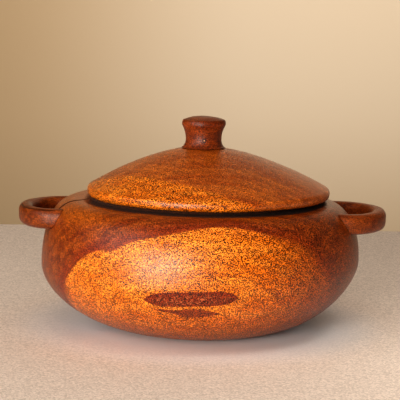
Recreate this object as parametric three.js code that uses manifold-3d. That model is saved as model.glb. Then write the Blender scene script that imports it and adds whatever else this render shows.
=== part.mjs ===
// A turned wooden pot with two loop handles and a domed lid with a knob.
// Millimetres, +Z up. The origin is the centre of the foot's flat underside; the handles lie along X.

import * as THREE from "three";
import { mergeVertices } from "three/addons/utils/BufferGeometryUtils.js";
import Module from "manifold-3d";

const wasm = await Module();
wasm.setup();

// Driving dimensions of the bowl.
const footRadius = 62;
const bellyRadius = 134;
const bellyHeight = 55;
const lowerFullness = 1.66;
const shoulderHeight = 106.6;
const upperFullness = 2.25;
const insideFullness = 4;
const shoulderLand = 13;
const collarWidth = 8;
const collarHeight = 2.7;
const mouthRadius = 84;
const mouthRounding = 3;
const wall = 11;
const floorThickness = 14;
const cornerRounding = 1;

// Driving dimensions of the loop handles and their dowels.
const handleDrop = 13.6;
const handleReach = 28.8;
const handleSpan = 92;
const handleThickness = 17;
const armWidth = 14;
const tipWidth = 12;
const handleRounding = 4;
const rootLength = 42;
const dowelRadius = 3;
const dowelLength = 18;

// Driving dimensions of the lid.
const lidOverhang = 10;
const domeRise = 34.9;
const domeFullness = 1.66;
const edgeRounding = 3.9;
const edgeLand = 1.2;
const lidThickness = 13;
const spigotWidth = 9;
const spigotDepth = 6;
const hollowRounding = 3;
const lidShift = 1.2;

// Driving dimensions of the knob, its tenon and the wedge.
const knobBaseRadius = 17;
const knobNeckRadius = 15.1;
const knobNeckHeight = 4.7;
const knobFlare = 1.5;
const knobSwell = 1;
const knobHeadRadius = 18.5;
const knobHeadHeight = 19.4;
const knobHeadRounding = 2;
const knobCrown = 2.6;
const knobHeight = 26.3;
const tenonRadius = 7.7;
const wedgeThickness = 1.6;
const wedgeTip = 0.9;
const wedgeHeight = 10;

// Clearances between pieces.
const seatGap = 0.3;
const spigotClearance = 2;
const dowelClearance = 0.3;

// Fineness of the round work.
const roundSegments = 60;
const knobSegments = 32;
const dowelSegments = 16;
const ovalSegments = 14;
const outsideSteps = 8;
const insideSteps = 6;
const roundingSteps = 3;

// Sizes that follow from the driving dimensions.
const collarRadius = mouthRadius + collarWidth;
const shoulderRadius = collarRadius + shoulderLand;
const rimTop = shoulderHeight + collarHeight;
const lidRadius = collarRadius + lidOverhang;
const spigotRadius = mouthRadius - spigotClearance;
const handleHeight = shoulderHeight - handleDrop;
const armOffset = (handleSpan - armWidth) / 2;
const boreRadius = tenonRadius + seatGap;

// One quarter of a superellipse, from its level end to its upright end.
function quarterCurve(centreR, centreZ, halfWidth, halfHeight, fullness, steps) {
  const points = [];
  for (let step = 0; step <= steps; step += 1) {
    const angle = (step / steps) * (Math.PI / 2);
    const across = Math.sin(angle) ** (2 / fullness);
    const up = Math.cos(angle) ** (2 / fullness);
    points.push(new THREE.Vector2(centreR + halfWidth * across, centreZ + halfHeight * up));
  }
  return points;
}

// A solid of revolution about Z from a half section listed anticlockwise, from the axis or round a ring.
function turned(points, segments = roundSegments) {
  const geometry = new THREE.LatheGeometry(points, segments);
  geometry.rotateX(Math.PI / 2);
  return geometry;
}

// The closed mesh of a geometry as a solid that can be cut.
function toSolid(geometry) {
  const bare = geometry.clone();
  bare.deleteAttribute("normal");
  bare.deleteAttribute("uv");
  const merged = mergeVertices(bare, 1e-4);
  const corners = merged.index.array;
  const kept = [];
  for (let i = 0; i < corners.length; i += 3) {
    const [a, b, c] = corners.slice(i, i + 3);
    if (a !== b && b !== c && c !== a) kept.push(a, b, c);
  }
  const vertProperties = merged.attributes.position.array;
  return new wasm.Manifold(new wasm.Mesh({ numProp: 3, vertProperties, triVerts: new Uint32Array(kept) }));
}

function toGeometry(solid) {
  const mesh = solid.getMesh();
  const geometry = new THREE.BufferGeometry();
  geometry.setAttribute("position", new THREE.BufferAttribute(mesh.vertProperties, 3));
  geometry.setIndex(new THREE.BufferAttribute(mesh.triVerts, 1));
  geometry.computeVertexNormals();
  return geometry;
}

function wood(color, roughness) {
  return new THREE.MeshStandardMaterial({ color, roughness, metalness: 0 });
}

function piece(name, geometry, material) {
  const mesh = new THREE.Mesh(geometry, material);
  mesh.name = name;
  return mesh;
}

const bowlWood = wood(0xb5662a, 0.4);
const handleWood = wood(0x8a3f22, 0.45);
const lidWood = wood(0xa85a26, 0.38);
const knobWood = wood(0x6e2c14, 0.35);
const dowelWood = wood(0xc79b62, 0.7);

// ---- Bowl ----

// The outside from the foot to the shoulder, grown by a gap where a neighbour is cut to it.
function outerWall(gap = 0) {
  const lower = quarterCurve(
    footRadius, bellyHeight, bellyRadius - footRadius + gap, -bellyHeight - gap,
    lowerFullness, outsideSteps);
  const upper = quarterCurve(
    shoulderRadius, bellyHeight, bellyRadius - shoulderRadius + gap,
    shoulderHeight - bellyHeight + gap, upperFullness, outsideSteps);
  return [...lower, ...upper.reverse().slice(1)];
}

// The radius of the outside wall at a height above the belly.
function shoulderRadiusAt(height) {
  const share = (height - bellyHeight) / (shoulderHeight - bellyHeight);
  const across = (1 - share ** upperFullness) ** (1 / upperFullness);
  return shoulderRadius + (bellyRadius - shoulderRadius) * across;
}

function bowlSection() {
  const axisFoot = new THREE.Vector2(0, 0);
  const collar = [
    new THREE.Vector2(collarRadius + cornerRounding, shoulderHeight),
    new THREE.Vector2(collarRadius, shoulderHeight + cornerRounding),
    new THREE.Vector2(collarRadius, rimTop - cornerRounding),
    new THREE.Vector2(collarRadius - cornerRounding, rimTop),
    new THREE.Vector2(mouthRadius + cornerRounding, rimTop),
    new THREE.Vector2(mouthRadius, rimTop - cornerRounding),
  ];
  const underShoulder = shoulderHeight - wall;
  const mouthUnderside = [
    new THREE.Vector2(mouthRadius, underShoulder + mouthRounding),
  ];
  const underMouth = mouthRadius + mouthRounding;
  const innerUpper = quarterCurve(
    underMouth, bellyHeight, bellyRadius - wall - underMouth,
    underShoulder - bellyHeight, insideFullness, insideSteps);
  const innerFoot = footRadius - wall;
  const innerLower = quarterCurve(
    innerFoot, bellyHeight, bellyRadius - wall - innerFoot,
    floorThickness - bellyHeight, lowerFullness, insideSteps);
  const axisFloor = new THREE.Vector2(0, floorThickness);
  return [
    axisFoot, ...outerWall(), ...collar, ...mouthUnderside,
    ...innerUpper, ...innerLower.reverse().slice(1), axisFloor,
  ];
}

// ---- Dowels and their sockets ----

// The middle of a dowel lies on the wall's face, where the arm of the loop meets it.
const dowelMiddleX = Math.sqrt(shoulderRadiusAt(handleHeight) ** 2 - armOffset ** 2);

function rodAlongX(radius, length, x, y) {
  const rod = new THREE.CylinderGeometry(radius, radius, length, dowelSegments);
  rod.rotateZ(Math.PI / 2);
  rod.translate(x, y, handleHeight);
  return rod;
}

function sockets() {
  const radius = dowelRadius + dowelClearance;
  const length = dowelLength + 2 * dowelClearance;
  return [-armOffset, armOffset].map((y) => toSolid(rodAlongX(radius, length, dowelMiddleX, y)));
}

function bowlGeometry() {
  let solid = toSolid(turned(bowlSection()));
  for (const socket of sockets()) {
    solid = solid.subtract(socket).subtract(socket.rotate([0, 0, 180]));
  }
  return toGeometry(solid);
}

// ---- Loop handles ----

// The loop in plan: two straight arms out of the wall, joined by half an oval, cut to the wall's curve.
function handleGeometry() {
  const tipX = shoulderRadiusAt(handleHeight) + handleReach;
  const ovalX = dowelMiddleX;
  const rootX = ovalX - rootLength;
  const outerY = handleSpan / 2;
  const innerY = outerY - armWidth;
  const plan = new THREE.Shape();
  plan.moveTo(rootX, -outerY);
  plan.lineTo(ovalX, -outerY);
  plan.absellipse(ovalX, 0, tipX - ovalX, outerY, -Math.PI / 2, Math.PI / 2);
  plan.lineTo(rootX, outerY);
  plan.lineTo(rootX, innerY);
  plan.lineTo(ovalX, innerY);
  plan.absellipse(ovalX, 0, tipX - tipWidth - ovalX, innerY, Math.PI / 2, -Math.PI / 2, true);
  plan.lineTo(rootX, -innerY);
  const blank = new THREE.ExtrudeGeometry(plan, {
    depth: handleThickness - 2 * handleRounding,
    curveSegments: ovalSegments,
    bevelThickness: handleRounding,
    bevelSize: handleRounding,
    bevelOffset: -handleRounding,
    bevelSegments: roundingSteps,
  });
  blank.translate(0, 0, handleHeight - handleThickness / 2 + handleRounding);
  const topOfBody = new THREE.Vector2(0, shoulderHeight + seatGap);
  const bodyOutline = [new THREE.Vector2(0, -seatGap), ...outerWall(seatGap), topOfBody];
  let solid = toSolid(blank).subtract(toSolid(turned(bodyOutline)));
  for (const socket of sockets()) solid = solid.subtract(socket);
  return toGeometry(solid);
}

// ---- Lid, with its flat seat at height 0 ----

const edgeCentreZ = edgeRounding + edgeLand;
const edgeAngle = Math.atan((domeRise * domeFullness) / lidRadius);
const domeEndRadius = lidRadius - edgeRounding * (1 - Math.sin(edgeAngle));
const domeEndZ = edgeCentreZ + edgeRounding * Math.cos(edgeAngle);

// Height of the dome's top above the seat at a radius, measured from where the round edge begins.
function domeTop(radius) {
  const drop = (domeEndRadius / lidRadius) ** domeFullness - (radius / lidRadius) ** domeFullness;
  return domeEndZ + domeRise * drop;
}

const knobSeatZ = domeTop(knobBaseRadius);

function lidSection() {
  const points = [new THREE.Vector2(boreRadius, knobSeatZ), new THREE.Vector2(knobBaseRadius, knobSeatZ)];
  for (let step = 1; step <= outsideSteps; step += 1) {
    const radius = knobBaseRadius + (domeEndRadius - knobBaseRadius) * (step / outsideSteps);
    points.push(new THREE.Vector2(radius, domeTop(radius)));
  }
  const edgeR = lidRadius - edgeRounding;
  for (const angle of [(edgeAngle + Math.PI / 2) / 2, Math.PI / 2]) {
    points.push(new THREE.Vector2(
      edgeR + edgeRounding * Math.sin(angle), edgeCentreZ + edgeRounding * Math.cos(angle)));
  }
  for (let step = 0; step <= roundingSteps; step += 1) {
    const angle = (step / roundingSteps) * (Math.PI / 2);
    points.push(new THREE.Vector2(
      edgeR + edgeRounding * Math.cos(angle), edgeRounding * (1 - Math.sin(angle))));
  }
  const hollowRadius = spigotRadius - spigotWidth;
  points.push(
    new THREE.Vector2(spigotRadius, 0),
    new THREE.Vector2(spigotRadius, cornerRounding - spigotDepth),
    new THREE.Vector2(spigotRadius - cornerRounding, -spigotDepth),
    new THREE.Vector2(hollowRadius + cornerRounding, -spigotDepth),
    new THREE.Vector2(hollowRadius, cornerRounding - spigotDepth),
    new THREE.Vector2(hollowRadius, domeTop(hollowRadius) - lidThickness - hollowRounding),
  );
  const hollowTop = hollowRadius - hollowRounding;
  for (let step = 0; step <= insideSteps; step += 1) {
    const radius = hollowTop + (boreRadius - hollowTop) * (step / insideSteps);
    points.push(new THREE.Vector2(radius, domeTop(radius) - lidThickness));
  }
  points.push(points[0].clone());
  return points.reverse();
}

// ---- Knob, with its base at height 0 and its tenon below ----

const knobBaseZ = knobSeatZ + seatGap;
const tenonEndZ = domeTop(boreRadius) - lidThickness - knobBaseZ - cornerRounding;
const slotTopZ = tenonEndZ + wedgeHeight - cornerRounding;

function knobGeometry() {
  const neck = new THREE.Vector2(knobNeckRadius, knobNeckHeight);
  const head = new THREE.Vector2(knobHeadRadius, knobHeadHeight);
  const arris = new THREE.Vector2(knobHeadRadius - knobHeadRounding, knobHeight - knobCrown);
  const gripRise = (knobHeadHeight - knobNeckHeight) / 3;
  const flare = new THREE.QuadraticBezierCurve(
    new THREE.Vector2(knobBaseRadius, 0), new THREE.Vector2(knobNeckRadius, knobFlare), neck);
  const grip = new THREE.CubicBezierCurve(
    neck, new THREE.Vector2(knobNeckRadius, knobNeckHeight + gripRise),
    new THREE.Vector2(knobHeadRadius - knobSwell, knobHeadHeight - gripRise), head);
  const edge = new THREE.QuadraticBezierCurve(
    head, new THREE.Vector2(knobHeadRadius, arris.y), arris);
  const top = new THREE.QuadraticBezierCurve(
    arris, new THREE.Vector2(knobHeadRadius / 2, knobHeight), new THREE.Vector2(0, knobHeight));
  const section = [
    new THREE.Vector2(0, tenonEndZ),
    new THREE.Vector2(tenonRadius, tenonEndZ),
    new THREE.Vector2(tenonRadius, 0),
    ...flare.getPoints(roundingSteps),
    ...grip.getPoints(insideSteps).slice(1),
    ...edge.getPoints(roundingSteps).slice(1),
    ...top.getPoints(roundingSteps).slice(1),
  ];
  const slotWidth = wedgeThickness + 2 * seatGap;
  const slotHeight = slotTopZ - tenonEndZ;
  const slot = new THREE.BoxGeometry(3 * tenonRadius, slotWidth, 2 * slotHeight);
  slot.translate(0, 0, tenonEndZ);
  return toGeometry(toSolid(turned(section, knobSegments)).subtract(toSolid(slot)));
}

// A long thin wedge, narrow end up, driven across the slot in the tenon.
function wedgeGeometry() {
  const outline = new THREE.Shape([
    new THREE.Vector2(-wedgeThickness / 2, slotTopZ - seatGap - wedgeHeight),
    new THREE.Vector2(wedgeThickness / 2, slotTopZ - seatGap - wedgeHeight),
    new THREE.Vector2(wedgeTip / 2, slotTopZ - seatGap),
    new THREE.Vector2(-wedgeTip / 2, slotTopZ - seatGap),
  ]);
  const length = 2 * Math.sqrt(tenonRadius ** 2 - wedgeThickness ** 2) - 2 * seatGap;
  const geometry = new THREE.ExtrudeGeometry(outline, { depth: length, bevelEnabled: false });
  geometry.rotateX(Math.PI / 2);
  geometry.rotateZ(Math.PI / 2);
  geometry.translate(-length / 2, 0, 0);
  return geometry;
}

// ---- Assembly ----

const pot = new THREE.Group();
pot.add(piece("bowl", bowlGeometry(), bowlWood));

for (const [side, turn] of [["left", Math.PI], ["right", 0]]) {
  const handle = new THREE.Group();
  handle.rotation.z = turn;
  handle.add(piece(`handle_${side}`, handleGeometry(), handleWood));
  for (const [end, sign] of [["front", -1], ["back", 1]]) {
    const y = sign * Math.cos(turn) * armOffset;
    const dowel = rodAlongX(dowelRadius, dowelLength, dowelMiddleX, y);
    handle.add(piece(`dowel_${side}_${end}`, dowel, dowelWood));
  }
  pot.add(handle);
}

// The loose lid rests a little towards the right-hand loop.
const lidGroup = new THREE.Group();
lidGroup.position.set(lidShift, 0, rimTop + seatGap);
lidGroup.add(piece("lid", turned(lidSection()), lidWood));
const knobGroup = new THREE.Group();
knobGroup.position.z = knobBaseZ;
knobGroup.add(piece("knob", knobGeometry(), knobWood));
knobGroup.add(piece("knob_wedge", wedgeGeometry(), dowelWood));
lidGroup.add(knobGroup);
pot.add(lidGroup);

export default pot;
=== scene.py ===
"""A turned and carved wooden pot with two loop handles and a domed lid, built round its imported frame."""

import math
from itertools import pairwise

import bmesh
import bpy
from mathutils import Matrix, Vector


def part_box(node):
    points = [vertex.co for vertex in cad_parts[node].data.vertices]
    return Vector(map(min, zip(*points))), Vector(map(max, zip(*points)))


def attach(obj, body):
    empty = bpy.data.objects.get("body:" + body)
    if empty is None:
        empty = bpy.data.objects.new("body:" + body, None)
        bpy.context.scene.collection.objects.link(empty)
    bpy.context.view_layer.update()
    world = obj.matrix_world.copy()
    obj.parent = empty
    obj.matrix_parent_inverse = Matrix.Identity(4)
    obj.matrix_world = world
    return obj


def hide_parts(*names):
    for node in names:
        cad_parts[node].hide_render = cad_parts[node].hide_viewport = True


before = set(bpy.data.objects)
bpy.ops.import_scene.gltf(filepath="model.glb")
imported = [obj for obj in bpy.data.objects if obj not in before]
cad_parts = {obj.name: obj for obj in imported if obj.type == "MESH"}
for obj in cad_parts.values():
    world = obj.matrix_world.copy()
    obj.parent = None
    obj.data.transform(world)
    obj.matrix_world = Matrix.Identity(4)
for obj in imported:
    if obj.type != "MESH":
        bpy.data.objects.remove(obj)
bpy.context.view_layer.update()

# ---- Camera ----
# A long lens, a little above the table, looks down at the front of the pot.
# It is turned a degree about its own axis and tipped up, so the pot sits below the middle.
AIM = Vector((0, 0, 0.0567))
CAMERA_DISTANCE = 1.3
CAMERA_ELEVATION = math.radians(10)
CAMERA_ROLL = math.radians(1.07)
CAMERA_TIP = math.radians(2.137)
LENS_LENGTH = 137.8

back = Vector((0, -math.cos(CAMERA_ELEVATION), math.sin(CAMERA_ELEVATION)))
bpy.ops.object.select_all(action="DESELECT")
bpy.ops.object.camera_add(location=AIM + back * CAMERA_DISTANCE)
camera = bpy.context.object
camera.data.lens = LENS_LENGTH
camera.rotation_mode = "QUATERNION"
roll = Matrix.Rotation(CAMERA_ROLL, 3, "Z").to_quaternion()
tip = Matrix.Rotation(CAMERA_TIP, 3, "X").to_quaternion()
camera.rotation_quaternion = (-back).to_track_quat("-Z", "Y") @ roll @ tip
bpy.context.scene.camera = camera
bpy.context.scene.view_settings.view_transform = "Standard"
bpy.context.scene.view_settings.look = "Medium High Contrast"


# ---- Table, wall and light ----
# A pale, fine-grained table top ends a little way behind the pot, and a tan wall stands further back.
# A soft window at the front left gives the light, and dimmer panels all round fill the shadows.
# Two small lamps brighten the table to the right of the pot, and the wall.
def new_material(name):
    """An empty node material with its output, and the tree that it is built in."""
    material = bpy.data.materials.new(name)
    material.use_nodes = True
    material.node_tree.nodes.clear()
    material.node_tree.nodes.new("ShaderNodeOutputMaterial")
    return material, material.node_tree


def node(tree, kind, settings=None, **inputs):
    """One node: settings are its own fields, and each input is a value or another node's output.
    An input is given by its name, or as i and its number."""
    made = tree.nodes.new(kind)
    for field, value in (settings or {}).items():
        setattr(made, field, value)
    for name, value in inputs.items():
        key = int(name[1:]) if name[0] == "i" and name[1:].isdigit() else name.replace("_", " ")
        if isinstance(value, bpy.types.NodeSocket):
            tree.links.new(value, made.inputs[key])
        else:
            made.inputs[key].default_value = value
    return made


def calc(tree, operation, *values):
    """One sum, from numbers and outputs."""
    inputs = {f"i{n}": value for n, value in enumerate(values)}
    return node(tree, "ShaderNodeMath", {"operation": operation}, **inputs).outputs[0]


def remap(tree, value, low, high, way="SMOOTHSTEP"):
    """A step from 0 where value is low to 1 where it is high; low may be the larger number."""
    step = node(tree, "ShaderNodeMapRange", {"interpolation_type": way}, i0=value, i1=low, i2=high)
    return step.outputs[0]


def noise(tree, place, scale=1.0, detail=2.0, roughness=0.5):
    """Soft random clouds, about a half on average."""
    return node(tree, "ShaderNodeTexNoise", Vector=place, Scale=scale, Detail=detail,
                Roughness=roughness).outputs[0]


def split(tree, place):
    """The X, Y and Z of a place."""
    return node(tree, "ShaderNodeSeparateXYZ", Vector=place).outputs


def how_far(tree, place, centre):
    """How far a place is from one point."""
    return node(tree, "ShaderNodeVectorMath", {"operation": "DISTANCE"}, i0=place,
                i1=centre).outputs["Value"]


def from_axis(tree, parts, centre=(0.0, 0.0)):
    """How far a place is from an upright line."""
    flat = node(tree, "ShaderNodeCombineXYZ", i0=parts[0], i1=parts[1]).outputs[0]
    return how_far(tree, flat, (*centre, 0.0))


def blend_colours(tree, share, first, second):
    """The first colour, mixed with this share of the second."""
    return node(tree, "ShaderNodeMix", {"data_type": "RGBA"}, i0=share, i6=first, i7=second).outputs[2]


def rgb(red, green, blue):
    return (red, green, blue, 1.0)


def dents(tree, height, strength, depth):
    """A bump, depth metres deep, where height is 1."""
    return node(tree, "ShaderNodeBump", Strength=strength, Distance=depth, Height=height).outputs[0]


def surface(tree, colour, bump, **gloss):
    """The shader, with the given colour, bump and gloss, joined to the output."""
    shader = node(tree, "ShaderNodeBsdfPrincipled", Base_Color=colour, Normal=bump, **gloss)
    output = next(n for n in tree.nodes if n.type == "OUTPUT_MATERIAL")
    tree.links.new(shader.outputs[0], output.inputs[0])


TABLE_BACK = 0.522
TABLE_SPREAD = 4.0
GRIT_COLOURS = rgb(0.62, 0.50, 0.41), rgb(0.94, 0.78, 0.66)
# Painted light: the table's colour close to the pot, paler and cooler than its grit, and how far out it
# fades.
NEAR_POT_LIGHT_COLOUR = rgb(0.90, 0.93, 0.95)
NEAR_POT_LIGHT_REACH = (0.17, 0.08)
WALL_BACK = 2.6
WALL_SIZE = 9.0
# Painted light on the wall: its colour runs from shaded to lit, across and then up.
WALL_SHADED_TO_LIT = rgb(0.54, 0.375, 0.215), rgb(0.70, 0.555, 0.40)
WALL_LIT_ACROSS = (-0.6, 0.15)
WALL_LIT_UP = (-0.7, 0.1)


def table_material():
    """Fine grit, with painted light close to the pot: the table turns plain, paler and cooler there, to
    lift the pot's shadow and its orange bounce.
    """
    material, tree = new_material("pale_table_top")
    place = node(tree, "ShaderNodeTexCoord").outputs["Object"]
    grit = node(tree, "ShaderNodeTexVoronoi", Vector=place, Scale=800.0).outputs["Color"]
    share = node(tree, "ShaderNodeSeparateColor", i0=grit).outputs[0]
    colour = blend_colours(tree, share, *GRIT_COLOURS)
    # Painted light, paler and cooler close to the pot.
    near_pot_light = remap(tree, from_axis(tree, split(tree, place)), *NEAR_POT_LIGHT_REACH)
    colour = blend_colours(tree, near_pot_light, colour, NEAR_POT_LIGHT_COLOUR)
    bump = dents(tree, noise(tree, place, 700.0), strength=0.2, depth=0.0004)
    surface(tree, colour, bump, Roughness=0.75)
    return material


def wall_material():
    """A matt tan wall with painted light: paler up and to the right, darker to the left and low down."""
    material, tree = new_material("tan_wall")
    place = node(tree, "ShaderNodeTexCoord").outputs["Object"]
    parts = split(tree, place)
    # Painted light: paler up and to the right, darker to the left and low down.
    across = remap(tree, parts[0], *WALL_LIT_ACROSS)
    share = calc(tree, "MULTIPLY", across, remap(tree, parts[2], *WALL_LIT_UP))
    colour = blend_colours(tree, share, *WALL_SHADED_TO_LIT)
    bump = dents(tree, noise(tree, place, 120.0), strength=0.1, depth=0.001)
    surface(tree, colour, bump, Roughness=0.9)
    return material


bpy.ops.mesh.primitive_plane_add(size=TABLE_SPREAD * 2, location=(0, TABLE_BACK - TABLE_SPREAD, 0))
table = bpy.context.object
table.name = "table_top"
table.data.materials.append(table_material())
bpy.ops.mesh.primitive_plane_add(size=WALL_SIZE, location=(0, WALL_BACK, 0), rotation=(math.pi / 2, 0, 0))
wall = bpy.context.object
wall.name = "back_wall"
wall.data.materials.append(wall_material())
for piece in (table, wall):
    bpy.ops.object.select_all(action="DESELECT")
    piece.select_set(True)
    bpy.context.view_layer.objects.active = piece
    bpy.ops.object.transform_apply(location=True, rotation=True, scale=True)

LIGHT_COLOUR = (1.0, 0.96, 0.9)
ROOM_COLOUR = rgb(1.0, 0.9, 0.78)
ROOM_STRENGTH = 0.07


def area_light(name, place, facing, width, height, power):
    """A flat soft light at this place, turned to face this way."""
    bpy.ops.object.light_add(type="AREA", location=place)
    light = bpy.context.object
    light.name = name
    light.rotation_mode = "QUATERNION"
    light.rotation_quaternion = facing.to_track_quat("-Z", "Y")
    light.data.shape = "RECTANGLE"
    light.data.size = width
    light.data.size_y = height
    light.data.energy = power
    light.data.color = LIGHT_COLOUR
    return light


def soft_light(name, azimuth, elevation, distance, width, height, power):
    """An area light that faces the pot, azimuth degrees to the right of the front."""
    around, up = math.radians(azimuth), math.radians(elevation)
    away = Vector((math.sin(around) * math.cos(up), -math.cos(around) * math.cos(up), math.sin(up)))
    return area_light(name, AIM + away * distance, -away, width, height, power)


def square_lamp(name, place, target, width, power):
    """An area light at one place that faces another."""
    return area_light(name, place, Vector(target) - Vector(place), width, width, power)


soft_light("window", azimuth=-26, elevation=7, distance=1.6, width=0.95, height=0.42, power=20)
soft_light("left_panel", azimuth=-64, elevation=30, distance=1.6, width=0.9, height=0.9, power=5.5)
for fill in (
    soft_light("front_panel", azimuth=0, elevation=20, distance=1.9, width=0.8, height=0.8, power=5),
    soft_light("overhead", azimuth=-20, elevation=75, distance=1.6, width=1.2, height=1.2, power=6.5),
    soft_light("right_panel", azimuth=95, elevation=20, distance=1.7, width=0.9, height=0.9, power=2.1),
    soft_light("back_panel", azimuth=172, elevation=50, distance=1.8, width=1.5, height=1.5, power=2.2),
):
    fill.visible_glossy = False
table_lamp = square_lamp("table_lamp", (0.46, -0.3, 0.8), (0.33, -0.15, 0), width=0.3, power=0.3)
table_lamp.data.spread = math.radians(50)
table_lamp.visible_glossy = False
square_lamp("wall_lamp", (0.35, 1.0, 0.9), (0.2, WALL_BACK, 0.15), width=0.8, power=25)

world = bpy.data.worlds.new("studio")
world.use_nodes = True
bpy.context.scene.world = world
world.node_tree.nodes["Background"].inputs[0].default_value = ROOM_COLOUR
world.node_tree.nodes["Background"].inputs[1].default_value = ROOM_STRENGTH


# ---- Bowl ----
# One round of wood, turned outside and hollowed out, with a flat foot and a low collar round the mouth.
# The block was cut near the bark, so the front is golden sapwood and the rest is red-brown heartwood.
bowl_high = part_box("bowl")[1]
BELLY_RADIUS = bowl_high.x
RIM_TOP = bowl_high.z
FOOT_RADIUS = 0.062
FOOT_EDGE = 0.002
BELLY_HEIGHT = 0.055
LOWER_FULLNESS = 1.66
SHOULDER_HEIGHT = 0.1066
UPPER_FULLNESS = 2.25
INSIDE_FULLNESS = 4
SHOULDER_RADIUS = 0.105
COLLAR_RADIUS = 0.092
MOUTH_RADIUS = 0.084
MOUTH_ROUNDING = 0.003
WALL = 0.011
FLOOR = 0.014
CORNER = 0.001
CORNER_MIDDLE = 0.3
BELLY_LEAN = 0.030
CENTRE_RING = 0.004
TURNED_SIDES = 128
OUTSIDE_STEPS = 16
INSIDE_STEPS = 12
BOWL_SWELL_DEPTH = 0.0006
BOWL_SWELL_SPACING = 0.05
SMOOTH_UNDER = math.radians(40)


def quarter_curve(centre, height, across, up, fullness, steps):
    """Radii and heights along one quarter of a superellipse, from its level end to its upright end."""
    for step in range(steps + 1):
        angle = step / steps * math.pi / 2
        yield (centre + across * math.sin(angle) ** (2 / fullness),
               height + up * math.cos(angle) ** (2 / fullness))


def run(first, last, steps):
    """Evenly spaced radii and heights from the first, up to but without the last."""
    for step in range(steps):
        share = step / steps
        yield (first[0] + (last[0] - first[0]) * share, first[1] + (last[1] - first[1]) * share)


def turn_rings(name, rings, sides=TURNED_SIDES):
    """A solid drawn out ring by ring; a ring is radius, height, sideways shift and lean.
    It closes on the axis at both ends, or on itself where its first and last rings are the same."""
    bpy.ops.object.select_all(action="DESELECT")
    radius, height, shift = rings[0][:3]
    bpy.ops.mesh.primitive_circle_add(vertices=sides, radius=radius, location=(shift, 0, height))
    made = bpy.context.object
    made.name = name
    bpy.ops.object.transform_apply(location=True, rotation=False, scale=False)
    bpy.ops.object.mode_set(mode="EDIT")
    for before, after in pairwise(rings):
        move = (after[2] - before[2], 0, after[1] - before[1])
        middle = (after[2], 0, after[1])
        grow = after[0] / before[0]
        bpy.ops.mesh.extrude_region_move(TRANSFORM_OT_translate={"value": move})
        if grow != 1:
            bpy.ops.transform.resize(value=(grow, grow, 1), center_override=middle)
        if after[3] != before[3]:
            turn = math.atan(after[3]) - math.atan(before[3])
            bpy.ops.transform.rotate(value=turn, orient_axis="Y", center_override=middle)
    if rings[0] != rings[-1]:
        bpy.ops.mesh.extrude_region_move()
        bpy.ops.mesh.merge(type="CENTER")
        bpy.ops.mesh.select_all(action="DESELECT")
        bpy.ops.mesh.select_non_manifold(extend=False, use_wire=False, use_multi_face=False)
        bpy.ops.mesh.extrude_region_move()
        bpy.ops.mesh.merge(type="CENTER")
    bpy.ops.mesh.select_all(action="SELECT")
    bpy.ops.mesh.remove_doubles(threshold=0.00002)
    bpy.ops.mesh.normals_make_consistent(inside=False)
    bpy.ops.object.mode_set(mode="OBJECT")
    return made


def only(made):
    """Makes this the one selected, active object."""
    bpy.ops.object.select_all(action="DESELECT")
    made.select_set(True)
    bpy.context.view_layer.objects.active = made


def finish_with(made, kind, **settings):
    """Adds one modifier, sets it and applies it."""
    only(made)
    modifier = made.modifiers.new(kind.lower(), kind)
    for field, value in settings.items():
        setattr(modifier, field, value)
    bpy.ops.object.modifier_apply(modifier=modifier.name)


def smooth(made):
    finish_with(made, "SUBSURF", levels=1, render_levels=1)


def shade(made):
    only(made)
    bpy.ops.object.shade_smooth_by_angle(angle=SMOOTH_UNDER)


def hand_worked(made, depth, spacing):
    """Slow swells and hollows that a scraper leaves on a turned surface."""
    clouds = bpy.data.textures.new(made.name + "_swell", "CLOUDS")
    clouds.noise_scale = spacing
    clouds.noise_depth = 1
    finish_with(made, "DISPLACE", texture=clouds, texture_coords="LOCAL", strength=depth, mid_level=0.5)


def bowl_lean(height):
    """The widest line of the belly slopes, and the foot and the shoulder don't."""
    share = max(0.0, math.sin(math.pi * height / SHOULDER_HEIGHT))
    return BELLY_LEAN * share ** 1.5


def outer_wall(gap=0.0):
    """The outside of the bowl from its foot to its shoulder, or a shape this gap larger."""
    lower = quarter_curve(FOOT_RADIUS, BELLY_HEIGHT, BELLY_RADIUS - FOOT_RADIUS + gap,
                          -BELLY_HEIGHT - gap, LOWER_FULLNESS, OUTSIDE_STEPS)
    upper = quarter_curve(SHOULDER_RADIUS, BELLY_HEIGHT, BELLY_RADIUS - SHOULDER_RADIUS + gap,
                          SHOULDER_HEIGHT - BELLY_HEIGHT + gap, UPPER_FULLNESS, OUTSIDE_STEPS)
    return [*lower, *reversed(list(upper)[:-1])]


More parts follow.
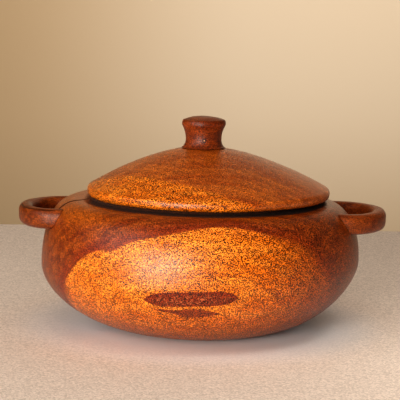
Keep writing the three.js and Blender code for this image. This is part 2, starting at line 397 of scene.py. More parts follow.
def bowl_rings():
    """The bowl's section: foot, outside, collar, inside and floor."""
    under_shoulder = SHOULDER_HEIGHT - WALL
    under_mouth = MOUTH_RADIUS + MOUTH_ROUNDING
    inner_foot = FOOT_RADIUS - WALL
    bulge = CORNER * CORNER_MIDDLE
    mouth_bulge = MOUTH_ROUNDING * CORNER_MIDDLE
    inner_upper = quarter_curve(under_mouth, BELLY_HEIGHT, BELLY_RADIUS - WALL - under_mouth,
                                under_shoulder - BELLY_HEIGHT, INSIDE_FULLNESS, INSIDE_STEPS)
    inner_lower = quarter_curve(inner_foot, BELLY_HEIGHT, BELLY_RADIUS - WALL - inner_foot,
                                FLOOR - BELLY_HEIGHT, LOWER_FULLNESS, INSIDE_STEPS)
    collar = [
        (COLLAR_RADIUS + 2 * CORNER, SHOULDER_HEIGHT),
        (COLLAR_RADIUS + bulge, SHOULDER_HEIGHT + bulge),
        (COLLAR_RADIUS, RIM_TOP - CORNER),
        (COLLAR_RADIUS - bulge, RIM_TOP - bulge),
        (COLLAR_RADIUS - CORNER, RIM_TOP),
        (MOUTH_RADIUS + CORNER, RIM_TOP),
        (MOUTH_RADIUS + bulge, RIM_TOP - bulge),
        (MOUTH_RADIUS, RIM_TOP - CORNER),
        (MOUTH_RADIUS, under_shoulder + MOUTH_ROUNDING),
        (MOUTH_RADIUS + mouth_bulge, under_shoulder + mouth_bulge),
    ]
    foot_edge = (FOOT_RADIUS - FOOT_EDGE, 0)
    section = [
        *run((CENTRE_RING, 0), foot_edge, 5), foot_edge,
        *outer_wall(), *collar, *inner_upper, *reversed(list(inner_lower)[:-1]),
        (inner_foot - 0.012, FLOOR), (inner_foot - 0.03, FLOOR), (CENTRE_RING, FLOOR),
    ]
    return [(radius, height, 0.0, bowl_lean(height)) for radius, height in section]


# How far the growth wanders, in millimetres, how deeply each mark shades the wood, and its lacquer.
GROWTH_SWAY = 12.0
RING_DEPTH = 0.10
FIBRE_DEPTH = 0.6
PORE_DEPTH = 0.22
SPECKLE_MIDDLE = 0.54
LACQUER_ROUGHNESS = 0.31


def millimetres(tree, stretch=(1.0, 1.0, 1.0)):
    """Object coordinates in millimetres, stretched along the grain where asked."""
    place = node(tree, "ShaderNodeTexCoord").outputs["Object"]
    return node(tree, "ShaderNodeMapping", Vector=place, Scale=tuple(1000 * s for s in stretch)).outputs[0]


def toward(tree, place, direction):
    """How far a place lies in this direction."""
    return node(tree, "ShaderNodeVectorMath", {"operation": "DOT_PRODUCT"}, i0=place,
                i1=direction).outputs["Value"]


def growth_depth(tree, place, direction):
    """How far a place lies toward the bark, with the slow waviness of real growth."""
    sway = noise(tree, place, 0.022, detail=1.0)
    straight = calc(tree, "SUBTRACT", toward(tree, place, direction), GROWTH_SWAY / 2)
    return calc(tree, "MULTIPLY_ADD", sway, GROWTH_SWAY, straight)


def growth_rings(tree, streak, depth, sway, closeness):
    """Yearly rings across the growth, swayed by the streaks: from -1 to 1."""
    swayed = calc(tree, "MULTIPLY_ADD", streak, sway, depth)
    return calc(tree, "SINE", calc(tree, "MULTIPLY", swayed, closeness))


def grain_parts(tree):
    """The marks of this timber: broad streaks, fine fibre, dark pore flecks and speckled cells, along X."""
    streak = noise(tree, millimetres(tree, (0.012, 0.13, 0.13)), detail=3.0, roughness=0.6)
    fibre = noise(tree, millimetres(tree, (0.16, 0.75, 0.75)), detail=3.0, roughness=0.7)
    pores = noise(tree, millimetres(tree, (0.42, 1.0, 1.0)), 1.6, detail=1.0)
    cells = node(tree, "ShaderNodeTexVoronoi", Vector=millimetres(tree, (0.85, 1.0, 1.0)),
                 Scale=1.35).outputs
    chance = node(tree, "ShaderNodeSeparateColor", i0=cells["Color"]).outputs[0]
    speckle = calc(tree, "MULTIPLY_ADD", chance, 0.25, calc(tree, "MULTIPLY", cells["Distance"], 0.9))
    return streak, fibre, remap(tree, pores, 0.52, 0.66), remap(tree, speckle, 0.38, 0.82)


def streaked(tree, streak, colours):
    """Wood that goes from its dark to its pale colour along the streaks."""
    return blend_colours(tree, remap(tree, streak, 0.35, 0.65), *colours)


def stained(tree, colour, mask, strength, stain):
    """The colour, with a stain of this strength over it where the mask is 1."""
    return blend_colours(tree, calc(tree, "MULTIPLY", mask, strength), colour, stain)


def where_all(tree, mask, *others):
    """1 only where all the masks are 1."""
    for other in others:
        mask = calc(tree, "MULTIPLY", mask, other)
    return mask


def draw_curve(float_curve, points):
    """Sets a float curve's points one by one."""
    curve = float_curve.mapping.curves[0]
    curve.points[0].location = points[0]
    curve.points[1].location = points[-1]
    for point in points[1:-1]:
        curve.points.new(*point)
    float_curve.mapping.update()


def finish_wood(tree, material, colour, rings, fibre, pores, speckle, speck_depth=0.45,
                roughness=LACQUER_ROUGHNESS, shine=0.5):
    """Rings, fibre, pores and cells shade the colour and dent the lacquer, and the lacquer shines."""
    tone = calc(tree, "MULTIPLY_ADD", rings, RING_DEPTH, 1.0)
    tone = calc(tree, "MULTIPLY_ADD", calc(tree, "SUBTRACT", fibre, 0.5), FIBRE_DEPTH, tone)
    between_pores = calc(tree, "SUBTRACT", 1.0, calc(tree, "MULTIPLY", pores, PORE_DEPTH))
    tone = calc(tree, "MULTIPLY", tone, between_pores)
    swing = calc(tree, "MULTIPLY", calc(tree, "SUBTRACT", speckle, SPECKLE_MIDDLE), speck_depth)
    tone = calc(tree, "MULTIPLY", tone, calc(tree, "MULTIPLY_ADD", swing, 2.0, 1.0))
    shaded = node(tree, "ShaderNodeVectorMath", {"operation": "SCALE"}, i0=colour, Scale=tone).outputs[0]
    height = calc(tree, "SUBTRACT", calc(tree, "ADD", fibre, calc(tree, "MULTIPLY", speckle, 0.5)), pores)
    bump = dents(tree, height, strength=0.25, depth=0.0003)
    surface(tree, shaded, bump, Roughness=roughness, Specular_IOR_Level=shine)
    return material


HEART = rgb(0.18, 0.026, 0.001), rgb(0.31, 0.060, 0.004)
HEART_BORDER = rgb(0.22, 0.018, 0.001)
# Painted shade: the heartwood darkened toward the bowl's right side.
HEART_RIGHT_SHADE = rgb(0.14, 0.020, 0.001)
# Painted light: the heartwood lightened on the top of the left shoulder, which faces the light.
HEART_LIT_SHOULDER = rgb(0.46, 0.105, 0.005)
GOLDEN = rgb(0.62, 0.135, 0.004), rgb(0.73, 0.205, 0.018)
# Painted shade: the sapwood darkened toward the bowl's right side.
GOLDEN_RIGHT_SHADE = rgb(0.27, 0.045, 0.002)
# Painted shade: the sapwood darkened toward the foot, under the belly.
GOLDEN_FOOT_SHADE = rgb(0.26, 0.048, 0.002)
EYE_COLOURS = rgb(0.17, 0.014, 0.002), rgb(0.29, 0.065, 0.022)
SMALL_EYE_COLOUR = rgb(0.20, 0.024, 0.003)
KNOT_COLOUR = rgb(0.25, 0.03, 0.006)
# Painted shade for the gap under the lid's rim.
GAP_SHADE_COLOUR = rgb(0.025, 0.007, 0.001)
SEAM_COLOUR = rgb(0.03, 0.006, 0.001)

# Places on the bowl, in millimetres. A pair is where a mark starts to show and where it shows in full.
BOWL_TO_BARK = (0.0, -0.743, -0.669)
RAGGEDNESS = 2.0
FRONT_WALL = (-80.0, -90.0)
# Where the painted shade on the right side starts and where it is full.
RIGHT_SHADE_SPAN = (22.0, 105.0)
# Where the painted light on the left shoulder's top starts and where it is full: across, then by height.
LIT_SHOULDER_ACROSS = (-60.0, -95.0)
LIT_SHOULDER_RISE = (90.0, 102.0)
# Where the painted shade toward the foot starts and where it is full, by height.
FOOT_SHADE_RISE = (38.0, 6.0)
SAP_LEFT_END = (-111.0, -101.0)
SAP_BORDER = (-14.0, -1.0)
SAP_EDGE_SPAN = 134.0
SAP_EDGE_LOW = 15.0
SAP_EDGE_RISE = 20.0
SAP_EDGE = [(0.0, 0.60), (0.108, 0.52), (0.157, 0.43), (0.187, 0.465), (0.22, 0.59), (0.25, 0.745),
            (0.272, 0.70), (0.325, 0.66), (0.41, 0.62), (0.459, 0.52), (0.51, 0.38), (0.563, 0.265),
            (0.631, 0.26), (0.698, 0.33), (0.754, 0.32), (0.799, 0.28), (0.836, 0.36), (0.858, 0.50),
            (0.90, 0.58), (1.0, 0.6)]
KNOT_CENTRE = (61.0, -118.0, 49.0)
# Where the painted shade of the gap under the lid's rim lies.
GAP_SHADE_CENTRE = (2.0, -4.0)
GAP_SHADE_OUTER_EDGE = (104.2, 100.2)
GAP_SHADE_INNER_EDGE = (91.0, 91.6)
GAP_SHADE_HEIGHT = (101.5, 103.5)
GAP_SHADE_LEFT_END = (-100.0, -88.0)
SEAM_START = -125.0
SEAM_LENGTH = 35.0
SEAM_HALF_WIDTH = (3.0, 1.2)
SEAM_HEIGHT = (98.0, 99.0)
SEAM_RIGHT_END = (-92.0, -94.0)


def lens_mark(tree, parts, centre, half_length, half_height, power, slope, softness=0.5):
    """A pointed lens in the front of the wall, tilted by its slope: 1 inside it and 0 outside."""
    ragged = noise(tree, millimetres(tree, (0.08, 0.1, 0.4)))
    across = calc(tree, "DIVIDE", calc(tree, "SUBTRACT", parts[0], centre[0]), half_length)
    toward_end = calc(tree, "POWER", calc(tree, "ABSOLUTE", across), power)
    reach = calc(tree, "MULTIPLY", calc(tree, "SUBTRACT", 1.0, toward_end), half_height)
    reach = calc(tree, "MULTIPLY_ADD", calc(tree, "SUBTRACT", ragged, 0.5), RAGGEDNESS, reach)
    middle = calc(tree, "MULTIPLY_ADD", across, slope, centre[1])
    off = calc(tree, "ABSOLUTE", calc(tree, "SUBTRACT", parts[2], middle))
    inside = remap(tree, calc(tree, "SUBTRACT", reach, off), -softness, softness)
    return calc(tree, "MULTIPLY", inside, remap(tree, parts[1], *FRONT_WALL))


def sapwood(tree, place, parts, fibre, right):
    """Where the wood is sapwood, and where heartwood borders on it. The edge is softer at the right."""
    across = remap(tree, parts[0], -SAP_EDGE_SPAN, SAP_EDGE_SPAN, "LINEAR")
    edge_line = node(tree, "ShaderNodeFloatCurve", i1=across)
    draw_curve(edge_line, SAP_EDGE)
    edge = calc(tree, "MULTIPLY_ADD", edge_line.outputs[0], SAP_EDGE_RISE, SAP_EDGE_LOW)
    straight = calc(tree, "SUBTRACT", toward(tree, place, BOWL_TO_BARK), edge)
    past_edge = calc(tree, "MULTIPLY_ADD", calc(tree, "SUBTRACT", fibre, 0.5), RAGGEDNESS, straight)
    blur = calc(tree, "MULTIPLY_ADD", right, 7.0, 1.0)
    sap = where_all(tree, remap(tree, calc(tree, "DIVIDE", past_edge, blur), -1.0, 1.0),
                    remap(tree, parts[0], *SAP_LEFT_END))
    border = where_all(tree, remap(tree, past_edge, *SAP_BORDER), calc(tree, "SUBTRACT", 1.0, sap))
    return sap, border


def bowl_colour(tree, parts, streak, right, sap, border):
    """Heartwood and sapwood, with painted shade that darkens both toward the right and the sapwood toward
    the foot, and painted light on the top of the left shoulder.
    """
    # Painted light on the top of the left shoulder.
    lit_left_shoulder = where_all(tree, remap(tree, parts[2], *LIT_SHOULDER_RISE),
                              remap(tree, parts[0], *LIT_SHOULDER_ACROSS))
    heart = streaked(tree, streak, HEART)
    heart = stained(tree, heart, border, 0.6, HEART_BORDER)
    heart = stained(tree, heart, right, 0.35, HEART_RIGHT_SHADE)
    heart = stained(tree, heart, lit_left_shoulder, 0.6, HEART_LIT_SHOULDER)
    golden = streaked(tree, streak, GOLDEN)
    golden = stained(tree, golden, right, 0.88, GOLDEN_RIGHT_SHADE)
    # Painted shade on the sapwood toward the foot.
    golden = stained(tree, golden, remap(tree, parts[2], *FOOT_SHADE_RISE), 0.62, GOLDEN_FOOT_SHADE)
    return blend_colours(tree, sap, heart, golden)


def front_marks(tree, place, parts, colour):
    """A long dark eye of heartwood in the front, a small one below it, and a knot at the right."""
    eye = lens_mark(tree, parts, centre=(-6.2, 46.7), half_length=36.6, half_height=6.1,
                    power=6.0, slope=1.8)
    eye_heart = lens_mark(tree, parts, centre=(-6.2, 46.3), half_length=32.0, half_height=4.0,
                          power=4.0, slope=1.8, softness=1.2)
    small_eye = lens_mark(tree, parts, centre=(-4.0, 34.7), half_length=20.5, half_height=4.0,
                          power=1.7, slope=-0.3)
    small_tail = lens_mark(tree, parts, centre=(-20.0, 35.9), half_length=15.0, half_height=1.4,
                           power=2.0, slope=-0.4)
    dapple = remap(tree, noise(tree, place, 0.42), 0.45, 0.62)
    eye_colour = blend_colours(tree, calc(tree, "MULTIPLY", eye_heart, dapple), *EYE_COLOURS)
    colour = stained(tree, colour, eye, 0.94, eye_colour)
    colour = stained(tree, colour, calc(tree, "MAXIMUM", small_eye, small_tail), 0.92, SMALL_EYE_COLOUR)
    knot = remap(tree, how_far(tree, place, KNOT_CENTRE), 5.0, 1.0)
    return stained(tree, colour, knot, 0.6, KNOT_COLOUR)


def painted_gap_shade(tree, parts):
    """Painted shade: a dark ring on the shoulder round the collar, for the shadow in the gap under the
    lid's rim.
    """
    return where_all(tree, remap(tree, from_axis(tree, parts, GAP_SHADE_CENTRE), *GAP_SHADE_OUTER_EDGE),
                     remap(tree, parts[2], *GAP_SHADE_HEIGHT),
                     remap(tree, from_axis(tree, parts), *GAP_SHADE_INNER_EDGE),
                     remap(tree, parts[0], *GAP_SHADE_LEFT_END))


def shoulder_seam(tree, parts):
    """A fine dark line over the left shoulder, which curves back as it nears the lid."""
    along = calc(tree, "DIVIDE", calc(tree, "SUBTRACT", parts[0], SEAM_START), SEAM_LENGTH)
    line = calc(tree, "MULTIPLY_ADD", calc(tree, "POWER", along, 4.0), 18.0,
                calc(tree, "MULTIPLY_ADD", along, 5.0, -32.0))
    off = calc(tree, "ABSOLUTE", calc(tree, "SUBTRACT", parts[1], line))
    return where_all(tree, remap(tree, off, *SEAM_HALF_WIDTH), remap(tree, parts[2], *SEAM_HEIGHT),
                     remap(tree, parts[0], *SEAM_RIGHT_END))


def bowl_material():
    material, tree = new_material("bowl_wood")
    place = millimetres(tree)
    parts = split(tree, place)
    streak, fibre, pores, speckle = grain_parts(tree)
    rings = growth_rings(tree, streak, growth_depth(tree, place, BOWL_TO_BARK), 14.0, 0.9)
    # The right side's mask: it paints shade there, and also softens the sapwood's edge and strengthens the
    # speckle.
    right = remap(tree, parts[0], *RIGHT_SHADE_SPAN)
    sap, border = sapwood(tree, place, parts, fibre, right)
    colour = bowl_colour(tree, parts, streak, right, sap, border)
    colour = front_marks(tree, place, parts, colour)
    gap_shade, seam = painted_gap_shade(tree, parts), shoulder_seam(tree, parts)
    # Painted shade in the gap under the lid, then the dark seam.
    colour = stained(tree, colour, gap_shade, 0.93, GAP_SHADE_COLOUR)
    colour = stained(tree, colour, seam, 0.92, SEAM_COLOUR)
    speck_depth = calc(tree, "MULTIPLY_ADD", calc(tree, "MAXIMUM", sap, right), 0.3, 0.65)
    # The lacquer is dull under the painted gap shade and along the seam.
    dull = calc(tree, "MAXIMUM", gap_shade, seam)
    roughness = calc(tree, "MULTIPLY_ADD", dull, 1.0 - LACQUER_ROUGHNESS, LACQUER_ROUGHNESS)
    return finish_wood(tree, material, colour, rings, fibre, pores, speckle, speck_depth, roughness)


bowl = turn_rings("turned_bowl", bowl_rings())
smooth(bowl)
hand_worked(bowl, BOWL_SWELL_DEPTH, BOWL_SWELL_SPACING)
shade(bowl)
bowl.data.materials.append(bowl_material())
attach(bowl, "pot_body")
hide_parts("bowl")


# ---- Loop handles ----
# Two small D-shaped loops, each sawn from a board of the same red-brown timber and rounded over by hand.
# Their ends are coped to the round wall, glued on below the shoulder and held by dowels.
handle_low, handle_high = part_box("handle_right")
dowel_low, dowel_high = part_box("dowel_right_front")
HANDLE_BASE = handle_low.z
HANDLE_THICKNESS = handle_high.z - handle_low.z
HANDLE_TIP = handle_high.x
HANDLE_HALF_SPAN = handle_high.y
OVAL_START = (dowel_low.x + dowel_high.x) / 2
ARM_WIDTH = 0.014
TIP_WIDTH = 0.012
HANDLE_ROOT = 0.03
LEFT_TIP_SHIFT = -0.0016
RIGHT_TIP_SHIFT = 0.0011
TOP_ROUNDING = 0.0052
UNDERSIDE_ROUNDING = 0.0058
GLUE_LINE = 0.0003
SOCKET_RADIUS = (dowel_high.z - dowel_low.z) / 2 + GLUE_LINE
SOCKET_DEPTH = dowel_high.x - dowel_low.x + 2 * GLUE_LINE
HANDLE_STEPS = 22
HANDLE_WOOD = rgb(0.145, 0.022, 0.001), rgb(0.23, 0.045, 0.004)
HANDLE_TO_BARK = (0.2, -0.743, -0.6)


def select_edges(made, wanted):
    """In edit mode, selects just the edges for which wanted is true."""
    bpy.ops.mesh.select_all(action="DESELECT")
    shape = bmesh.from_edit_mesh(made.data)
    shape.normal_update()
    for edge in [edge for edge in shape.edges if wanted(edge)]:
        edge.select = True
    bmesh.update_edit_mesh(made.data)


def oval_edge(angle, tip):
    """Inner and outer points of the loop's plan at an angle round its oval, which ends at this tip."""
    outer = Vector(((tip - OVAL_START) * math.cos(angle), HANDLE_HALF_SPAN * math.sin(angle), 0))
    inner = Vector(((tip - TIP_WIDTH - OVAL_START) * math.cos(angle),
                    (HANDLE_HALF_SPAN - ARM_WIDTH) * math.sin(angle), 0))
    start = Vector((OVAL_START, 0, HANDLE_BASE))
    return start + inner, start + outer


def edge_at(made, x):
    """In edit mode, selects the loose end edge of the strip that lies at this X."""
    select_edges(made, lambda edge: all(abs(v.co.x - x) < 1e-5 for v in edge.verts) and edge.is_boundary)


def saw_loop(name, tip):
    """The loop's outline as a flat strip: one arm, the oval drawn out edge by edge, and the other arm."""
    bpy.ops.object.select_all(action="DESELECT")
    middle_y = -HANDLE_HALF_SPAN + ARM_WIDTH / 2
    bpy.ops.mesh.primitive_plane_add(size=1, location=(OVAL_START - HANDLE_ROOT / 2, middle_y, HANDLE_BASE))
    made = bpy.context.object
    made.name = name
    made.scale = (HANDLE_ROOT, ARM_WIDTH, 1)
    bpy.ops.object.transform_apply(location=True, rotation=True, scale=True)
    bpy.ops.object.mode_set(mode="EDIT")
    edge_at(made, OVAL_START)
    angles = [-math.pi / 2 + math.pi * step / HANDLE_STEPS for step in range(HANDLE_STEPS + 1)]
    for before, after in pairwise(angles):
        (inner, outer), (next_inner, next_outer) = oval_edge(before, tip), oval_edge(after, tip)
        middle = (next_inner + next_outer) / 2
        across, next_across = outer - inner, next_outer - next_inner
        turn = math.atan2(next_across.y, next_across.x) - math.atan2(across.y, across.x)
        grow = next_across.length / across.length
        move = middle - (inner + outer) / 2
        bpy.ops.mesh.extrude_region_move(TRANSFORM_OT_translate={"value": move})
        bpy.ops.transform.rotate(value=-turn, orient_axis="Z", center_override=middle)
        bpy.ops.transform.resize(value=(grow, grow, 1), center_override=middle)
    bpy.ops.mesh.extrude_region_move(TRANSFORM_OT_translate={"value": (-HANDLE_ROOT, 0, 0)})
    return made


def round_over(made, top, offset):
    """Bevels the long edges of the top or the underside."""
    halfway = HANDLE_BASE + HANDLE_THICKNESS / 2

    def wanted(edge):
        if len(edge.link_faces) != 2:
            return False
        ups = sorted(abs(face.normal.z) for face in edge.link_faces)
        return ups[0] < 0.2 and ups[1] > 0.9 and (edge.verts[0].co.z > halfway) == top

    select_edges(made, wanted)
    bpy.ops.mesh.bevel(offset=offset, segments=4, affect="EDGES")


def carve_loop(name, tip):
    """The sawn outline, made as thick as the board and rounded over."""
    made = saw_loop(name, tip)
    bpy.ops.mesh.select_all(action="SELECT")
    bpy.ops.mesh.extrude_region_move(TRANSFORM_OT_translate={"value": (0, 0, HANDLE_THICKNESS)})
    bpy.ops.mesh.select_all(action="SELECT")
    bpy.ops.mesh.remove_doubles(threshold=0.00001)
    bpy.ops.mesh.normals_make_consistent(inside=False)
    round_over(made, top=True, offset=TOP_ROUNDING)
    round_over(made, top=False, offset=UNDERSIDE_ROUNDING)
    bpy.ops.object.mode_set(mode="OBJECT")
    smooth(made)
    return made


def cut_away(made, tool):
    finish_with(made, "BOOLEAN", object=tool, operation="DIFFERENCE", solver="EXACT")


def handle_material():
    """Dark heartwood, with a fine dark line along the front of the left loop."""
    material, tree = new_material("handle_wood")
    streak, fibre, pores, speckle = grain_parts(tree)
    place = millimetres(tree)
    parts = split(tree, place)
    rings = growth_rings(tree, streak, growth_depth(tree, place, HANDLE_TO_BARK), 10.0, 1.2)
    line_off = calc(tree, "ABSOLUTE", calc(tree, "SUBTRACT", parts[2], 100.5))
    line = where_all(tree, remap(tree, line_off, 0.6, 0.2), remap(tree, parts[0], -118.0, -122.0),
                     remap(tree, parts[1], -2.0, -8.0))
    colour = stained(tree, streaked(tree, streak, HANDLE_WOOD), line, 0.8, SEAM_COLOUR)
    return finish_wood(tree, material, colour, rings, fibre, pores, speckle, 0.6,
                       roughness=0.38, shine=0.36)


former = turn_rings("bowl_former", [
    (CENTRE_RING, -GLUE_LINE, 0.0, 0.0),
    *((radius, height, 0.0, bowl_lean(height)) for radius, height in outer_wall(GLUE_LINE)),
    (CENTRE_RING, SHOULDER_HEIGHT + GLUE_LINE, 0.0, 0.0),
])
smooth(former)
hand_worked(former, BOWL_SWELL_DEPTH, BOWL_SWELL_SPACING)
loop_wood = handle_material()
for side, turn, shift in (("left", math.pi, LEFT_TIP_SHIFT), ("right", 0.0, RIGHT_TIP_SHIFT)):
    loop = carve_loop(f"{side}_loop", HANDLE_TIP + shift)
    loop.rotation_euler.z = turn
    only(loop)
    bpy.ops.object.transform_apply(location=True, rotation=True, scale=True)
    hand_worked(loop, depth=0.0008, spacing=0.02)
    cut_away(loop, former)
    for end in ("front", "back"):
        low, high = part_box(f"dowel_{side}_{end}")
        bpy.ops.mesh.primitive_cylinder_add(vertices=32, radius=SOCKET_RADIUS, depth=SOCKET_DEPTH,
                                            location=(low + high) / 2, rotation=(0, math.pi / 2, 0))
        drill = bpy.context.object
        for drilled in (loop, bowl):
            cut_away(drilled, drill)
        bpy.data.objects.remove(drill)
    shade(loop)
    loop.data.materials.append(loop_wood)
    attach(loop, "pot_body")
    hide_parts(f"handle_{side}")
bpy.data.objects.remove(former)
shade(bowl)


# ---- Dowels ----
# Four round pins of pale hardwood, half in each arm of a loop and half in the wall.
# They are hidden once the loops are glued on, and keep a dry, unlacquered face.
DOWEL_WOOD = rgb(0.50, 0.30, 0.12), rgb(0.62, 0.40, 0.18)


def dowel_material():
    material, tree = new_material("dowel_wood")
    streak, fibre, pores, speckle = grain_parts(tree)
    colour = streaked(tree, streak, DOWEL_WOOD)
    return finish_wood(tree, material, colour, streak, fibre, pores, speckle, roughness=0.7, shine=0.3)


pin_wood = dowel_material()
for side in ("left", "right"):
    for end in ("front", "back"):
        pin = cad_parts[f"dowel_{side}_{end}"]
        pin.material_slots[0].material = pin_wood


# ---- Lid ----
# A shallow dome turned from a second block, with a flat seat, a round edge and a low spigot underneath.
# The rim was cut a little off the knob's axis, and a corner of sapwood shows at the front left.
lid_low, lid_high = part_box("lid")
LID_CENTRE = (lid_low.x + lid_high.x) / 2
LID_RADIUS = (lid_high.x - lid_low.x) / 2
SPIGOT_DEPTH = 0.006
SEAT = lid_low.z + SPIGOT_DEPTH
DOME_RISE = 0.0349
DOME_FULLNESS = 1.66
EDGE_ROUNDING = 0.0039
EDGE_LAND = 0.0012
LID_THICKNESS = 0.013
SPIGOT_RADIUS = 0.082
SPIGOT_WIDTH = 0.009
SPIGOT_CORNER = 0.0007
HOLLOW_ROUNDING = 0.003
BORE_RADIUS = 0.008
KNOB_BASE_RADIUS = 0.0185
RIM_OFFSET = 0.0049
EDGE_CENTRE = EDGE_ROUNDING + EDGE_LAND
EDGE_ANGLE = math.atan(DOME_RISE * DOME_FULLNESS / LID_RADIUS)
DOME_END = LID_RADIUS - EDGE_ROUNDING * (1 - math.sin(EDGE_ANGLE))
DOME_END_HEIGHT = EDGE_CENTRE + EDGE_ROUNDING * math.cos(EDGE_ANGLE)
DOME_STEPS = 18
EDGE_STEPS = 8
HOLLOW_STEPS = 10
LID_HEART = rgb(0.33, 0.061, 0.004), rgb(0.46, 0.108, 0.011)
LID_GOLDEN = rgb(0.52, 0.11, 0.003), rgb(0.66, 0.18, 0.012)
LID_TO_BARK = (-0.424, -0.566, -0.707)
LID_SAP_DEPTH = -41.7


def dome_top(radius):
    """Height of the dome above the seat."""
    drop = (DOME_END / LID_RADIUS) ** DOME_FULLNESS - (radius / LID_RADIUS) ** DOME_FULLNESS
    return DOME_END_HEIGHT + DOME_RISE * drop


def off_axis(radius):
    """Sideways shift of a ring of the dome, none at the knob and the most at the rim."""
    return RIM_OFFSET * max(0.0, (radius - KNOB_BASE_RADIUS) / (LID_RADIUS - KNOB_BASE_RADIUS)) ** 0.75


def lid_rings():
    """The lid's section: bore, dome, round edge, seat, spigot and hollow, back to the bore."""
    knob_seat = dome_top(KNOB_BASE_RADIUS)
    hollow = SPIGOT_RADIUS - SPIGOT_WIDTH
    edge_radius = LID_RADIUS - EDGE_ROUNDING
    top = [(BORE_RADIUS, knob_seat), (BORE_RADIUS + 0.003, knob_seat)]
    for step in range(DOME_STEPS + 1):
        radius = KNOB_BASE_RADIUS + (DOME_END - KNOB_BASE_RADIUS) * step / DOME_STEPS
        top.append((radius, dome_top(radius)))
    for step in range(1, EDGE_STEPS + 1):
        angle = EDGE_ANGLE + (math.pi / 2 - EDGE_ANGLE) * step / EDGE_STEPS
        top.append((edge_radius + EDGE_ROUNDING * math.sin(angle),
                    EDGE_CENTRE + EDGE_ROUNDING * math.cos(angle)))
    for step in range(EDGE_STEPS + 1):
        angle = math.pi / 2 * step / EDGE_STEPS
        top.append((edge_radius + EDGE_ROUNDING * math.cos(angle),
                    EDGE_ROUNDING * (1 - math.sin(angle))))
    under = [
        (SPIGOT_RADIUS + CORNER, 0), (SPIGOT_RADIUS, -CORNER),
        (SPIGOT_RADIUS, SPIGOT_CORNER - SPIGOT_DEPTH), (SPIGOT_RADIUS - SPIGOT_CORNER, -SPIGOT_DEPTH),
        (hollow + SPIGOT_CORNER, -SPIGOT_DEPTH), (hollow, SPIGOT_CORNER - SPIGOT_DEPTH),
        (hollow, dome_top(hollow) - LID_THICKNESS - HOLLOW_ROUNDING),
    ]
    hollow_edge = hollow - HOLLOW_ROUNDING
    for step in range(HOLLOW_STEPS + 1):
        radius = hollow_edge + (BORE_RADIUS - hollow_edge) * step / HOLLOW_STEPS
        under.append((radius, dome_top(radius) - LID_THICKNESS))
    rings = [(radius, SEAT + height, LID_CENTRE + off_axis(radius), 0.0) for radius, height in top]
    rings += [(radius, SEAT + height, LID_CENTRE, 0.0) for radius, height in under]
    return [*rings, rings[0]]


def lid_material():
    material, tree = new_material("lid_wood")
    streak, fibre, pores, speckle = grain_parts(tree)
    depth = growth_depth(tree, millimetres(tree), LID_TO_BARK)
    rings = growth_rings(tree, streak, depth, 14.0, 0.8)
    sap = remap(tree, calc(tree, "SUBTRACT", depth, LID_SAP_DEPTH), -2.5, 1.5)
    colour = blend_colours(tree, sap, streaked(tree, streak, LID_HEART), streaked(tree, streak, LID_GOLDEN))
    speck_depth = calc(tree, "MULTIPLY_ADD", sap, 0.33, 0.62)
    return finish_wood(tree, material, colour, rings, fibre, pores, speckle, speck_depth)


lid = turn_rings("domed_lid", lid_rings())
smooth(lid)
hand_worked(lid, depth=0.0007, spacing=0.045)
shade(lid)
lid.data.materials.append(lid_material())
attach(lid, "lid_body")
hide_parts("lid")


# ---- Knob ----
# A small flared grip turned from the darkest heartwood, with a round tenon that goes right through the lid.
# The tenon's end is slotted for its wedge, and the top edge is worn by hands.
knob_low, knob_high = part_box("knob")
KNOB_CENTRE = (knob_low.x + knob_high.x) / 2
KNOB_HEIGHT = 0.0263
KNOB_BASE = knob_high.z - KNOB_HEIGHT
NECK_RADIUS = 0.0151
NECK_HEIGHT = 0.007
FLARE = 0.002
HEAD_RADIUS = 0.0185
HEAD_HEIGHT = 0.0194
HEAD_ROUNDING = 0.002
CROWN = 0.0026
TENON_RADIUS = 0.0077
TENON_CORNER = 0.0004
KNOB_UNDERSIDE = -0.0002
KNOB_CENTRE_RING = 0.001
KNOB_SIDES = 64
KNOB_WOOD = rgb(0.15, 0.022, 0.002), rgb(0.22, 0.038, 0.004)
PIN_HOLE_RIM = rgb(0.03, 0.005, 0.001)
# Painted highlight: the pale middle of the pin-hole mark stands in for a glint.
PIN_HOLE_GLINT = rgb(0.55, 0.25, 0.12)
PIN_HOLE_RADIUS = 1.4


def bent(start, pull, end, steps):
    """Points on a curve from start to end, drawn towards pull, without its first point."""
    for step in range(1, steps + 1):
        t = step / steps
        yield tuple((1 - t) ** 2 * a + 2 * t * (1 - t) * b + t * t * c
                    for a, b, c in zip(start, pull, end))


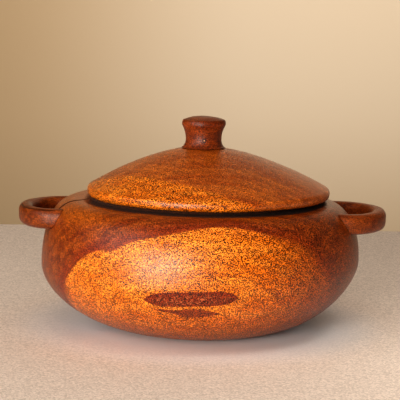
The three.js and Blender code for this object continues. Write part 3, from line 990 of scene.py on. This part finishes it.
def knob_rings():
    """The knob's section: tenon, base, neck, head and crown."""
    base = (KNOB_BASE_RADIUS, 0)
    neck = (NECK_RADIUS, NECK_HEIGHT)
    head = (HEAD_RADIUS, HEAD_HEIGHT)
    arris = (HEAD_RADIUS - HEAD_ROUNDING, KNOB_HEIGHT - CROWN)
    tenon_end = knob_low.z - KNOB_BASE
    section = [
        (KNOB_CENTRE_RING, tenon_end), (TENON_RADIUS - TENON_CORNER, tenon_end),
        (TENON_RADIUS, tenon_end + TENON_CORNER), (TENON_RADIUS, -0.0008),
        (TENON_RADIUS + 0.0006, KNOB_UNDERSIDE), (KNOB_BASE_RADIUS - 0.0002, KNOB_UNDERSIDE), base,
        *bent(base, (NECK_RADIUS, FLARE), neck, 8),
        *bent(neck, (NECK_RADIUS, (NECK_HEIGHT + HEAD_HEIGHT) / 2), head, 10),
        *bent(head, (HEAD_RADIUS, arris[1]), arris, 6),
        *bent(arris, (HEAD_RADIUS / 2, KNOB_HEIGHT), (KNOB_CENTRE_RING, KNOB_HEIGHT), 8),
    ]
    return [(radius, KNOB_BASE + height, KNOB_CENTRE, 0.0) for radius, height in section]


def knob_material():
    """Dark heartwood, with one small pin-hole mark at the front of the neck: a dark ring round a pale
    painted glint.
    """
    material, tree = new_material("knob_wood")
    streak, fibre, pores, speckle = grain_parts(tree)
    pin_hole = (KNOB_CENTRE * 1000 + 0.5, -15.2, (KNOB_BASE + NECK_HEIGHT) * 1000)
    off = how_far(tree, millimetres(tree), pin_hole)
    rim = remap(tree, calc(tree, "ABSOLUTE", calc(tree, "SUBTRACT", off, PIN_HOLE_RADIUS)), 0.8, 0.3)
    colour = stained(tree, streaked(tree, streak, KNOB_WOOD), rim, 0.8, PIN_HOLE_RIM)
    # The painted glint in the middle of the pin-hole mark.
    colour = blend_colours(tree, remap(tree, off, 0.9, 0.5), colour, PIN_HOLE_GLINT)
    return finish_wood(tree, material, colour, streak, fibre, pores, speckle, 0.6,
                       roughness=0.38, shine=0.36)


wedge_low, wedge_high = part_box("knob_wedge")
knob = turn_rings("turned_knob", knob_rings(), KNOB_SIDES)
smooth(knob)
hand_worked(knob, depth=0.0005, spacing=0.012)
slot_top = wedge_high.z + GLUE_LINE
slot_width = wedge_high.y - wedge_low.y + 2 * GLUE_LINE
bpy.ops.mesh.primitive_cube_add(size=1, location=(KNOB_CENTRE, 0, knob_low.z),
                                scale=(4 * TENON_RADIUS, slot_width, 2 * (slot_top - knob_low.z)))
saw = bpy.context.object
cut_away(knob, saw)
bpy.data.objects.remove(saw)
shade(knob)
knob.data.materials.append(knob_material())
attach(knob, "lid_body")
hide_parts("knob")


# ---- Knob wedge ----
# A thin slip of pale hardwood, the same as the dowels, driven up into the slot under the lid.
# It spreads the tenon, which then grips its hole.
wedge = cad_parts["knob_wedge"]
wedge.material_slots[0].material = pin_wood
